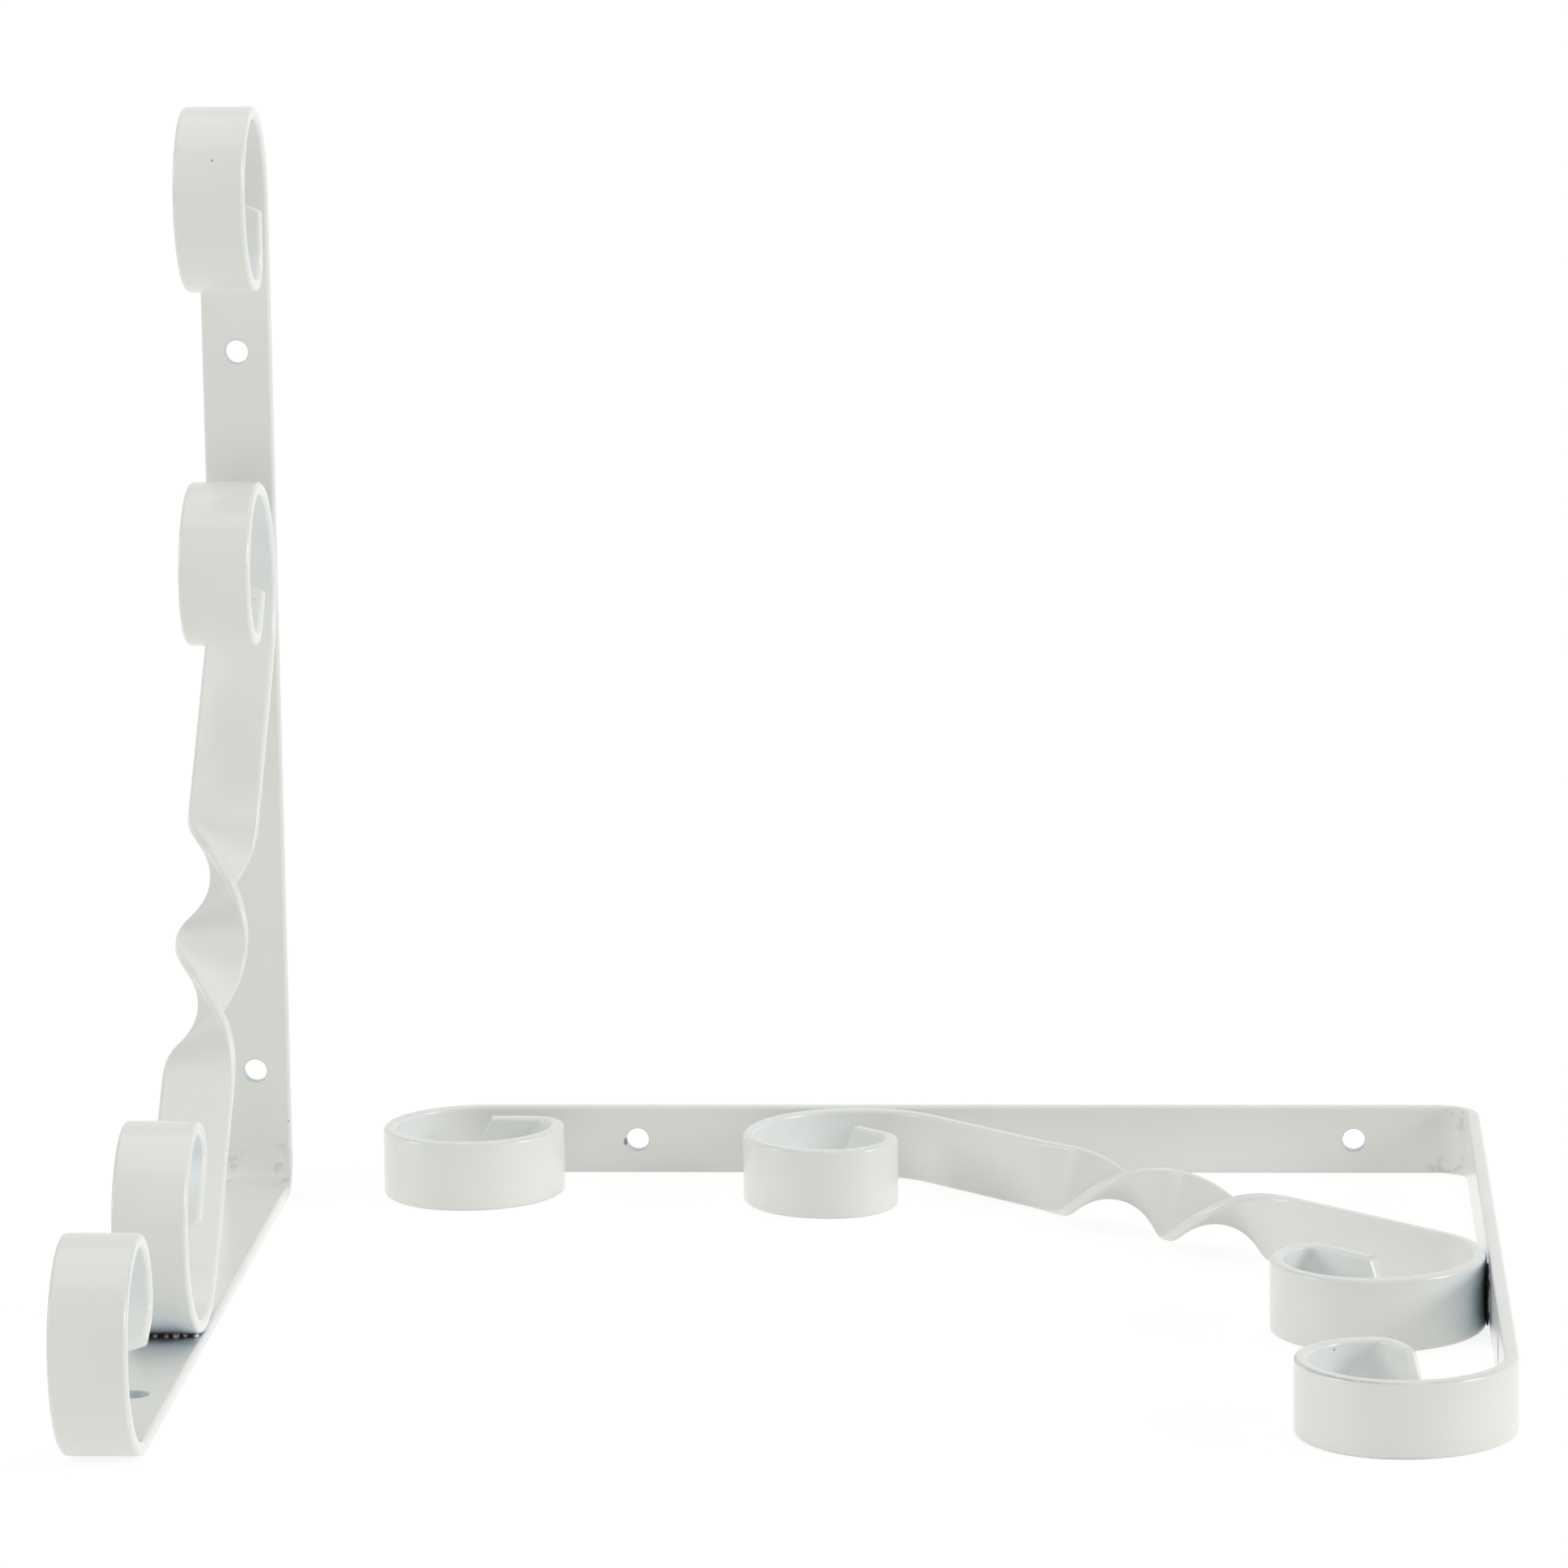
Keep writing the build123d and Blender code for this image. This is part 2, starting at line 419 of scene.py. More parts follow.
class Field:
    """A node's output that takes part in plain arithmetic."""

    def __init__(self, writer, socket):
        self.writer = writer
        self.socket = socket

    def math(self, operation, *others, swap=False):
        values = [self, *others]
        if swap:
            values.reverse()
        settings = {"operation": operation}
        return self.writer.node("ShaderNodeMath", settings, dict(enumerate(values)))

    def __add__(self, other):
        return self.math("ADD", other)

    __radd__ = __add__

    def __sub__(self, other):
        return self.math("SUBTRACT", other)

    def __rsub__(self, other):
        return self.math("SUBTRACT", other, swap=True)

    def __mul__(self, other):
        return self.math("MULTIPLY", other)

    __rmul__ = __mul__

    def __truediv__(self, other):
        return self.math("DIVIDE", other)

    def __pow__(self, other):
        return self.math("POWER", other)

    def __abs__(self):
        return self.math("ABSOLUTE")

    def least(self, other):
        return self.math("MINIMUM", other)

    def most(self, other):
        return self.math("MAXIMUM", other)

    def root(self):
        return self.most(0.0).math("SQRT")

    def smooth(self, low, high):
        """0 at low, 1 at high, and a soft step between them."""
        settings = {"interpolation_type": "SMOOTHSTEP"}
        if low <= high:
            inputs = {"Value": self, "From Min": low, "From Max": high, "To Min": 0.0, "To Max": 1.0}
        else:
            inputs = {"Value": self, "From Min": high, "From Max": low, "To Min": 1.0, "To Max": 0.0}
        return self.writer.node("ShaderNodeMapRange", settings, inputs)

    def vector(self, operation, *others, output=0):
        settings = {"operation": operation}
        return self.writer.node("ShaderNodeVectorMath", settings, dict(enumerate([self, *others])), output)

    def dot(self, other):
        return self.vector("DOT_PRODUCT", other, output=1)

    def scaled(self, share):
        settings = {"operation": "SCALE"}
        return self.writer.node("ShaderNodeVectorMath", settings, {0: self, "Scale": share})


class NodeWriter:
    """Adds nodes to a tree."""

    def __init__(self, tree):
        self.tree = tree

    def node(self, kind, settings=None, inputs=None, output=0):
        """One node: its settings first, then the values or links of its sockets."""
        made = self.tree.nodes.new(kind)
        for key, value in (settings or {}).items():
            if key == "items":
                for item_type, item_name in value:
                    made.capture_items.new(item_type, item_name)
            else:
                setattr(made, key, value)
        for key, value in (inputs or {}).items():
            if isinstance(value, Field):
                self.tree.links.new(value.socket, made.inputs[key])
            else:
                made.inputs[key].default_value = value
        return Field(self, made.outputs[output])

    def other(self, field, output):
        """Another output of the node that a field comes from."""
        return Field(self, field.socket.node.outputs[output])


def geometry_tree(name, inputs):
    """A geometry node tree with named inputs; returns it with a writer and a field for each input."""
    tree = bpy.data.node_groups.new(name, "GeometryNodeTree")
    tree.is_modifier = True
    tree.interface.new_socket("Geometry", in_out="INPUT", socket_type="NodeSocketGeometry")
    for label, kind in inputs.items():
        tree.interface.new_socket(label, in_out="INPUT", socket_type="NodeSocket" + kind)
    tree.interface.new_socket("Geometry", in_out="OUTPUT", socket_type="NodeSocketGeometry")
    writer = NodeWriter(tree)
    group = tree.nodes.new("NodeGroupInput")
    fields = {socket.name: Field(writer, socket) for socket in group.outputs if socket.name}
    return tree, writer, fields


def end_tree(writer, geometry, material):
    """Make instances real, set the material and hand the geometry out."""
    real = writer.node("GeometryNodeRealizeInstances", None, {"Geometry": geometry})
    painted = writer.node("GeometryNodeSetMaterial", None, {"Geometry": real, "Material": material})
    group = writer.tree.nodes.new("NodeGroupOutput")
    writer.tree.links.new(painted.socket, group.inputs[0])


def bar_tree():
    """Sweeps a rounded bar section along a middle line and clips the bar's ends."""
    lengths = ("Width", "Thickness", "Edge Rounding", "End Flat", "End Point", "End Rounding")
    inputs = {**dict.fromkeys(lengths, "Float"), "Across": "Vector", "Material": "Material"}
    tree, writer, given = geometry_tree("Coated bar", inputs)
    width = given["Width"]
    thickness = given["Thickness"]
    facing = {"Curve": given["Geometry"], "Normal": given["Across"]}
    line = writer.node("GeometryNodeSetCurveNormal", {"mode": "FREE"}, facing)

    # What each point of the line hands on to the section around it
    from_start = writer.node("GeometryNodeSplineParameter", output=1)
    whole = writer.node("GeometryNodeSplineLength")
    to_tip = from_start.least(whole - from_start)
    point = given["End Point"]
    softness = given["End Rounding"]
    clipped = 1.0 - to_tip.least(point) / point
    soft_way = softness - to_tip.least(softness)
    half_width = width * 0.5 - (width - given["End Flat"]) * 0.5 * clipped
    half_thick = thickness * 0.5 - softness + (softness * softness - soft_way * soft_way).root()
    captured = {
        "Geometry": line,
        "Centre": writer.node("GeometryNodeInputPosition"),
        "Side": writer.node("GeometryNodeInputNormal"),
        "Along": writer.node("GeometryNodeInputTangent"),
        "Wide": half_width / (width * 0.5),
        "Thick": half_thick / (thickness * 0.5),
        "Way": from_start,
    }
    items = [("VECTOR", "Centre"), ("VECTOR", "Side"), ("VECTOR", "Along")]
    items += [("FLOAT", "Wide"), ("FLOAT", "Thick"), ("FLOAT", "Way")]
    line = writer.node("GeometryNodeCaptureAttribute", {"domain": "POINT", "items": items}, captured)
    centre, side, along, wide, thick, way = (writer.other(line, item[1]) for item in items)

    sides = {"Width": width, "Height": thickness}
    outline = writer.node("GeometryNodeCurvePrimitiveQuadrilateral", None, sides)
    arcs = {"Curve": outline, "Radius": given["Edge Rounding"], "Count": EDGE_STEPS}
    section = writer.node("GeometryNodeFilletCurve", {"mode": "POLY"}, arcs)
    sweep = {"Curve": line, "Profile Curve": section, "Fill Caps": True}
    bar = writer.node("GeometryNodeCurveToMesh", None, sweep)

    # Narrow the section towards the tips
    here = writer.node("GeometryNodeInputPosition")
    from_centre = here.vector("SUBTRACT", centre)
    off_side = from_centre.dot(side)
    through = along.vector("CROSS_PRODUCT", side)
    off_through = from_centre.dot(through)
    place = centre.vector("ADD", side.scaled(off_side * wide))
    place = place.vector("ADD", through.scaled(off_through * thick))
    bar = writer.node("GeometryNodeSetPosition", None, {"Geometry": bar, "Position": place})

    # What the coat reads: the way along the bar, across it and through it
    kept = {"data_type": "FLOAT", "domain": "POINT"}
    for name, value in (("bar_way", way), ("bar_across", off_side), ("bar_through", off_through)):
        stored = {"Geometry": bar, "Name": name, "Value": value}
        bar = writer.node("GeometryNodeStoreNamedAttribute", kept, stored)
    bar = writer.node("GeometryNodeSetShadeSmooth", None, {"Geometry": bar})
    end_tree(writer, bar, given["Material"])
    return tree


DRILL_CLEAR = 1.04 * MM
DRILL_RINGS = 61
DRILL_SIDES = 48


def drill_tree():
    """Sweeps a round cutter along each hole's axis, flared where it leaves the bar's faces."""
    inputs = {"Rim": "Float", "Thickness": "Float", "Material": "Material"}
    tree, writer, given = geometry_tree("Hole cutter", inputs)
    rim = given["Rim"]
    radius = writer.node("GeometryNodeInputRadius")
    axes = {"Curve": given["Geometry"], "Count": DRILL_RINGS}
    axis = writer.node("GeometryNodeResampleCurve", None, axes)
    way = writer.node("GeometryNodeSplineParameter", output=1)
    depth = (way - DRILL_CLEAR).least(given["Thickness"] + DRILL_CLEAR - way)
    flare_way = rim - depth.most(0.0).least(rim)
    flare = rim - (rim * rim - flare_way * flare_way).root()
    circle = writer.node("GeometryNodeCurvePrimitiveCircle", None, {"Resolution": DRILL_SIDES, "Radius": 1.0})
    sweep = {"Curve": axis, "Profile Curve": circle, "Scale": radius + flare, "Fill Caps": True}
    cutter = writer.node("GeometryNodeCurveToMesh", None, sweep)
    end_tree(writer, cutter, given["Material"])
    return tree


# Sizes and lumps of the weld beads, and their spread, height and stray: apart on one bracket, run
# together on the other
BEAD_SMALLEST = 0.75
BEAD_LARGEST = 1.2
BEAD_LUMP = 0.12 * MM
BEAD_LUMP_SCALE = 900.0
BEAD_BALL = {"Radius": 0.5, "Subdivisions": 4}
BEAD_SPREAD = {"standing": 1.2, "lying": 3.2}
BEAD_RISE = {"standing": 1.1, "lying": 0.66}
BEAD_STRAY = {"standing": 0.2 * MM, "lying": 0.06 * MM}


def bead_tree():
    """A row of lumpy weld beads, each a little different in size and place."""
    inputs = {
        "Count": "Int",
        "Start": "Vector",
        "Step": "Vector",
        "Bead": "Vector",
        "Stray": "Vector",
        "Seed": "Int",
        "Material": "Material",
    }
    tree, writer, given = geometry_tree("Weld beads", inputs)
    row = {"Count": given["Count"], "Start Location": given["Start"], "Offset": given["Step"]}
    points = writer.node("GeometryNodeMeshLine", {"mode": "OFFSET"}, row)
    spread = {0: given["Stray"].scaled(-1.0), 1: given["Stray"], "Seed": given["Seed"]}
    stray = writer.node("FunctionNodeRandomValue", {"data_type": "FLOAT_VECTOR"}, spread)
    points = writer.node("GeometryNodeSetPosition", None, {"Geometry": points, "Offset": stray})
    ball = writer.node("GeometryNodeMeshIcoSphere", None, BEAD_BALL)
    sizes = {2: BEAD_SMALLEST, 3: BEAD_LARGEST, "Seed": given["Seed"] + 1}
    grown = writer.node("FunctionNodeRandomValue", {"data_type": "FLOAT"}, sizes, output=1)
    dotted = {"Points": points, "Instance": ball, "Scale": given["Bead"].scaled(grown)}
    beads = writer.node("GeometryNodeInstanceOnPoints", None, dotted)
    beads = writer.node("GeometryNodeRealizeInstances", None, {"Geometry": beads})
    lump = writer.node("ShaderNodeTexNoise", None, {"Scale": BEAD_LUMP_SCALE, "Detail": 1.0})
    out = writer.node("GeometryNodeInputNormal").scaled((lump - 0.5) * BEAD_LUMP)
    beads = writer.node("GeometryNodeSetPosition", None, {"Geometry": beads, "Offset": out})
    beads = writer.node("GeometryNodeSetShadeSmooth", None, {"Geometry": beads})
    end_tree(writer, beads, given["Material"])
    return tree


def grow(source, tree, values):
    """Put a geometry tree on an object, its inputs set by their sockets' identifiers."""
    modifier = source.modifiers.new(tree.name, "NODES")
    for item in tree.interface.items_tree:
        if item.in_out == "INPUT" and item.name in values:
            modifier[item.identifier] = values[item.name]
    modifier.node_group = tree


def made_plain(source, name):
    """The finished shape of an object as a plain mesh object at the origin, in place of the source."""
    graph = bpy.context.evaluated_depsgraph_get()
    shape = source.evaluated_get(graph)
    mesh = bpy.data.meshes.new_from_object(shape, preserve_all_data_layers=True, depsgraph=graph)
    mesh.name = name
    piece = bpy.data.objects.new(name, mesh)
    bpy.context.scene.collection.objects.link(piece)
    bpy.data.objects.remove(source)
    return piece


# Powder coat, with its sizes and reaches in millimetres

NOISE_TO_MM = 1000.0
NOISE_ROUGHNESS = 0.5
SPECK_SOFTNESS = 0.5


class CoatWriter(NodeWriter):
    """Writes a coat's nodes."""

    def __init__(self, name):
        self.material = bpy.data.materials.new(name)
        self.material.use_nodes = True
        super().__init__(self.material.node_tree)
        self.tree.nodes.clear()
        self.spot = self.node("ShaderNodeTexCoord", output="Object")

    def noise(self, size, detail=2.0):
        """Noise from 0 to 1 whose lumps are about that many millimetres across."""
        scale = NOISE_TO_MM / size
        inputs = {"Vector": self.spot, "Scale": scale, "Detail": detail, "Roughness": NOISE_ROUGHNESS}
        return self.node("ShaderNodeTexNoise", None, inputs)

    def patches(self, size, detail, low, high):
        """Soft-edged patches of noise, 0 where it is low and 1 where it is high."""
        return self.noise(size, detail).smooth(low, high)

    def specks(self, apart, radius):
        """1 in small round specks, at most one in each cell of that size in millimetres."""
        inputs = {"Vector": self.spot, "Scale": NOISE_TO_MM / apart, "Randomness": 1.0}
        far = self.node("ShaderNodeTexVoronoi", {"feature": "F1"}, inputs)
        return (far * apart).smooth(radius, radius * SPECK_SOFTNESS)

    def mixed(self, share, first, second):
        """Two colours mixed by a share of the second."""
        inputs = {0: share, 6: first, 7: second}
        return self.node("ShaderNodeMix", {"data_type": "RGBA"}, inputs, output=2)

    def surface(self, colour, roughness, height, distance):
        """Finish the material with a principled shader over a bump."""
        bump = self.node("ShaderNodeBump", None, {"Strength": 1.0, "Distance": distance, "Height": height})
        inputs = {"Base Color": colour, "Roughness": roughness, "Normal": bump}
        shader = self.node("ShaderNodeBsdfPrincipled", None, inputs)
        out = self.tree.nodes.new("ShaderNodeOutputMaterial")
        self.tree.links.new(shader.socket, out.inputs["Surface"])
        return self.material


# Shares of half the bar's thickness where its inner face and its welded face start and are full
INNER_FACE = (0.7, 0.97)
WELDED_FACE = (0.5, 0.95)


class BarCoat(CoatWriter):
    """Writes the coat of one bar, with the places on the bracket and on the bar in millimetres."""

    def __init__(self, name, place, inner, lengths, bar):
        super().__init__(name)
        self.half_thick = bar.thickness / 2 / MM
        self.half_width = bar.width / 2 / MM
        self.first, self.last, self.whole = (length / MM for length in lengths)
        from_corner = self.spot.vector("SUBTRACT", tuple(place.corner))
        self.u = from_corner.dot(tuple(place.along_wall)) / MM
        self.v = from_corner.dot(tuple(place.along_shelf)) / MM
        self.aside = from_corner.dot(tuple(place.across)) / MM - self.half_width
        self.way = self.read("bar_way") / MM
        self.across = self.read("bar_across") / MM
        self.through = self.read("bar_through") / MM
        self.inwards = self.through * inner
        self.inside = self.inwards.smooth(*(self.half_thick * share for share in INNER_FACE))
        self.welded = self.through.smooth(*(self.half_thick * share for share in WELDED_FACE))

    def read(self, name):
        """A number that the geometry stores on the bar."""
        return self.node("ShaderNodeAttribute", {"attribute_name": name}, output="Fac")

    def on_scrolls(self, share):
        """1 on that share of the first scroll and of the last one, from the tip, then fading out."""
        on_first = self.way.smooth(self.first, self.first * share)
        on_last = self.way.smooth(self.whole - self.last, self.whole - self.last * share)
        return on_first, on_last


def apart(first, second):
    """Distance from two distances square to each other."""
    return (first * first + second * second).root()


def opaque(colour, share=1.0):
    """A colour property as a shader colour, darkened to a share."""
    return (*(part * share for part in colour), 1.0)


# Patches of noise: size, detail, and the noise at which they start and are full
CLOUDS = (38.0, 2.0, 0.3, 0.7)
THIN_AND_LIT_PATCHES = (11.0, 3.0, 0.35, 0.75)
THIN_AND_LIT_GRAIN = (0.6, 1.0, 0.3, 0.7)
RUB_STREAKS = (9.0, 3.0, 0.42, 0.55)
RUB_GRAIN = (0.9, 2.0, 0.38, 0.58)
SMUDGES = (2.6, 4.0, 0.5, 0.7)
SPECKLED = (30.0, 2.0, 0.5, 0.6)
SOOT_SPOTS = (1.1, 2.0, 0.5, 0.72)

# Noise that frays the outline of the painted shade round the welds and of the chip: size and detail, and how
# far
WELD_FRAY = (3.5, 3.0)
WELD_FRAY_REACH = 3.0
CHIP_FRAY = (0.8, 2.0)
CHIP_FRAY_REACH = 0.5

# How dark the clouds in the white are
CLOUD_SHADE = 0.965

# Thin coat with painted bluish light inside the scrolls: where it starts and is full from the bar's tip, the
# share of the scroll that it fills, and how much of it is even, patchy and grainy
THIN_AND_LIT_FROM_TIP = (5.0, 17.0)
THIN_AND_LIT_SHARE = 0.62
THIN_AND_LIT_EVEN = 0.3
THIN_AND_LIT_PATCHY = 0.35
THIN_AND_LIT_GRAINY = 0.4

# Where the painted bluish shade and the dark unpainted steel with painted shade end and where they are full,
# from a weld's contact, and how strong they are. They draw in towards the bar's edges, and the weld on the
# wall leg has a share of both
BLUE_SHADE_REACH = (30.0, 8.0)
BLUE_SHADE_STRENGTH = 0.68
BARE_AND_SHADE_REACH = {
    "standing": {"frame": (10.5, 3.0), "brace": (19.0, 5.0)},
    "lying": {"frame": (3.0, 1.0), "brace": (16.5, 4.0)},
}
BARE_AND_SHADE_STRENGTH = 0.96
DRAW_IN = 10.0
DRAW_IN_POWER = 4.0
WALL_SHARE = 0.5

# How worn the edges of each bar's last scroll and of its first one are, the share of the scroll that
# is worn, and the bands along the edge and the outer face where wear starts and is full
WEAR = {
    "standing": {"frame": 0.35, "brace": 0.08},
    "lying": {"frame": 1.0, "brace": 0.08},
}
FIRST_WEAR = 0.2
WEAR_SHARE = 0.35
WORN_EDGE = (0.65, 0.3)
WORN_FACE = (0.75, 0.4)
RUB_EVEN = 0.4
RUB_STREAKY = 0.55
RUB_SMOOTH = 0.5
RUB_GRAINY = 0.45
RUB_STRENGTH = 0.8

# Smudges: where they end and are full in the bend, by its radius, and off the middle of the bar
SMUDGE_BEND = (1.35, 0.9)
SMUDGE_ASIDE = (1.5, 5.0)
SMUDGE_STRENGTH = 0.42

# Painted shade on the walls of the screw holes: where it ends and is full past the hole's radius and the
# bar's face
HOLE_WALL = (0.25, 0.1)
HOLE_DEPTH = (0.5, 0.1)
HOLE_SHADE_STRENGTH = 0.7
HOLE_SHADE = 0.7

# Dark chip beside the end hole of the wall leg: how strong, how far off the middle, how much longer
# across the bar, and where it ends and is full from its middle and past the bar's face
HOLE_CHIP = {"standing": 0.0, "lying": 0.85}
CHIP_ASIDE = 0.5
CHIP_ACROSS = 0.65
CHIP_REACH = (0.75, 0.3)
CHIP_DEPTH = (1.5, 0.5)
CHIP_SHADE = 0.4

# Specks in the coat: distance, radius, strength and shade
SPECKS_APART = 7.5
SPECK_RADIUS = 0.36
SPECK_STRENGTH = 0.7
SPECK_SHADE = 0.5

# Slight orange peel: size and height of its lumps, of wide waves and of fine grain
PEEL = ((1.7, 0.06), (14.0, 0.6), (0.35, 0.02))
PEEL_DETAIL = 1.0
PEEL_DEPTH = 0.1 * MM
RUB_ROUGHER = 0.2
BARE_AND_SHADE_ROUGHER = 0.25

# Soot, painted shadow and finish of the weld beads: bright on one bracket; on the other the shelf beads are
# painted black as the shadow in the gap
BEAD_PAINTED_SHADE = {"standing": 0.0, "lying": 1.0}
SOOT_STRENGTH = 0.3
BEAD_ROUGHNESS = 0.3
SOOT_ROUGHER = 0.4
BEAD_GRAIN = 0.5
BEAD_GRAIN_DEPTH = 0.05 * MM


def thin_coat_and_light_spots(coat):
    """Share of a thinner, grainy coat on the inside of the scrolls, lightened there as painted light."""
    on_first, on_last = coat.on_scrolls(THIN_AND_LIT_SHARE)
    past_tip = coat.way.least(coat.whole - coat.way).smooth(*THIN_AND_LIT_FROM_TIP)
    patch = coat.patches(*THIN_AND_LIT_PATCHES)
    grain = coat.patches(*THIN_AND_LIT_GRAIN)
    spots = patch * (grain * THIN_AND_LIT_GRAINY + THIN_AND_LIT_PATCHY) + THIN_AND_LIT_EVEN
    return coat.inside * on_first.most(on_last) * past_tip * spots


def weld_shade_and_bare(coat, bare_and_shade_reach, settings):
    """Shares of painted bluish shade, and of dark unpainted steel with painted shade, in the crevices round
    the welds.
    """
    contact = settings.bar.thickness / MM
    fray = (coat.noise(*WELD_FRAY) - 0.5) * WELD_FRAY_REACH
    fray = fray + abs(coat.across / coat.half_width) ** DRAW_IN_POWER * DRAW_IN
    from_shelf = apart(coat.u - contact, coat.v - settings.brace.on_shelf / MM) + fray
    from_wall = (apart(coat.u - settings.brace.on_wall / MM, coat.v - contact) + fray) / WALL_SHARE
    marks = []
    for reach in (BLUE_SHADE_REACH, bare_and_shade_reach):
        mark = from_shelf.smooth(*reach).most(from_wall.smooth(*reach) * WALL_SHARE)
        marks.append(mark * coat.welded)
    return marks


def rub_marks(coat, wear, bend):
    """Share of rubbed coat on the outside edges of the scrolls, and of smudges in the corner bend."""
    edge = abs(coat.across).smooth(*(coat.half_width - band for band in WORN_EDGE))
    outer = (0.0 - coat.inwards).smooth(*(coat.half_thick - band for band in WORN_FACE))
    on_first, on_last = coat.on_scrolls(WEAR_SHARE)
    streaks = coat.patches(*RUB_STREAKS) * RUB_STREAKY + RUB_EVEN
    grain = coat.patches(*RUB_GRAIN) * RUB_GRAINY + RUB_SMOOTH
    rub = edge * outer * streaks * grain * (on_last * wear + on_first * FIRST_WEAR)
    corner = coat.u.most(coat.v).smooth(*(bend * share for share in SMUDGE_BEND))
    corner = corner * abs(coat.across).smooth(*SMUDGE_ASIDE)
    return rub.most(corner * coat.inside * coat.patches(*SMUDGES) * SMUDGE_STRENGTH)


def hole_shade_and_chip(coat, colour, chipped, settings):
    """A colour with painted bluish shade on the walls of the screw holes and a chip beside one of them."""
    sizes = settings.frame
    look = settings.look
    face = settings.bar.thickness / MM
    wall_radius = sizes.wall_hole_size / 2 / MM
    holes = [(coat.u - hole / MM, coat.v, wall_radius) for hole in sizes.wall_holes]
    holes.append((coat.v - sizes.shelf_hole / MM, coat.u, sizes.shelf_hole_size / 2 / MM))
    for along, into, radius in holes:
        in_hole = apart(along, coat.aside).smooth(*(radius + band for band in HOLE_WALL))
        in_hole = in_hole * into.smooth(*(face + band for band in HOLE_DEPTH))
        # Painted bluish shade on the hole's wall
        colour = coat.mixed(in_hole * HOLE_SHADE_STRENGTH, colour, opaque(look.painted_blue_shade, HOLE_SHADE))
    chip_u = coat.u - max(sizes.wall_holes) / MM - wall_radius
    chip = apart(chip_u, (coat.aside + CHIP_ASIDE) * CHIP_ACROSS)
    chip = (chip + (coat.noise(*CHIP_FRAY) - 0.5) * CHIP_FRAY_REACH).smooth(*CHIP_REACH)
    chip = chip * coat.v.smooth(*(face + band for band in CHIP_DEPTH))
    return coat.mixed(chip * chipped, colour, opaque(look.scuff, CHIP_SHADE))


def coat_material(place, kind, inner, lengths, settings):
    """White powder coat on one bar, with thinner coat and painted light inside the scrolls, painted bluish
    shade and dark unpainted steel with painted shade at the weld gaps, painted shade in the holes, and rubbed
    edges.
    """
    look = settings.look
    coat = BarCoat(place.name + "_" + kind + "_coat", place, inner, lengths, settings.bar)
    # Painted shade at the weld crevices: a bluish veil, and a near-black part that is partly unpainted steel
    painted_blue_shade, bare_and_shade = weld_shade_and_bare(coat, BARE_AND_SHADE_REACH[place.name][kind], settings)
    rub = rub_marks(coat, WEAR[place.name][kind], settings.frame.corner_bend / MM)
    specks = coat.specks(SPECKS_APART, SPECK_RADIUS) * coat.patches(*SPECKLED)

    colour = coat.mixed(coat.patches(*CLOUDS), opaque(look.coat), opaque(look.coat, CLOUD_SHADE))
    # Thinner coat and painted bluish light inside the scrolls
    colour = coat.mixed(thin_coat_and_light_spots(coat), colour, opaque(look.thin_coat_and_light))
    # Painted bluish shade, then near-black painted shade and unpainted steel, in the weld crevices
    colour = coat.mixed(painted_blue_shade * BLUE_SHADE_STRENGTH, colour, opaque(look.painted_blue_shade))
    colour = coat.mixed(bare_and_shade * BARE_AND_SHADE_STRENGTH, colour, opaque(look.bare_and_shade))
    colour = coat.mixed(rub * RUB_STRENGTH, colour, opaque(look.scuff))
    if kind == "frame":
        colour = hole_shade_and_chip(coat, colour, HOLE_CHIP[place.name], settings)
    colour = coat.mixed(specks * SPECK_STRENGTH, colour, opaque(look.scuff, SPECK_SHADE))

    height = sum(coat.noise(size, PEEL_DETAIL) * high for size, high in PEEL)
    roughness = look.roughness + rub * RUB_ROUGHER + bare_and_shade * BARE_AND_SHADE_ROUGHER
    return coat.surface(colour, roughness, height, PEEL_DEPTH)


def bead_material(place, side, settings):
    """Weld beads of bright steel, sooty in places; the lying bracket's shelf beads are painted black as the
    shadow in the gap.
    """
    look = settings.look
    coat = CoatWriter(place.name + "_" + side + "_bead_steel")
    least = BEAD_PAINTED_SHADE[place.name] if side == "shelf" else 0.0
    # Sooty patches, and on the lying bracket's shelf beads full black: painted shadow of the gap
    soot_and_shade = (coat.patches(*SOOT_SPOTS) * SOOT_STRENGTH).most(least)
    colour = coat.mixed(soot_and_shade, opaque(look.bead), opaque(look.bare_and_shade))
    roughness = soot_and_shade * SOOT_ROUGHER + BEAD_ROUGHNESS
    return coat.surface(colour, roughness, coat.noise(BEAD_GRAIN), BEAD_GRAIN_DEPTH)


# The pieces

def bar_values(settings, place, material):
    """Inputs of the bar tree for one bar."""
    bar = settings.bar
    return {
        "Width": bar.width,
        "Thickness": bar.thickness,
        "Edge Rounding": bar.edge_round,
        "End Flat": bar.end_flat,
        "End Point": bar.end_point,
        "End Rounding": bar.end_round,
        "Across": tuple(place.across),
        "Material": material,
    }


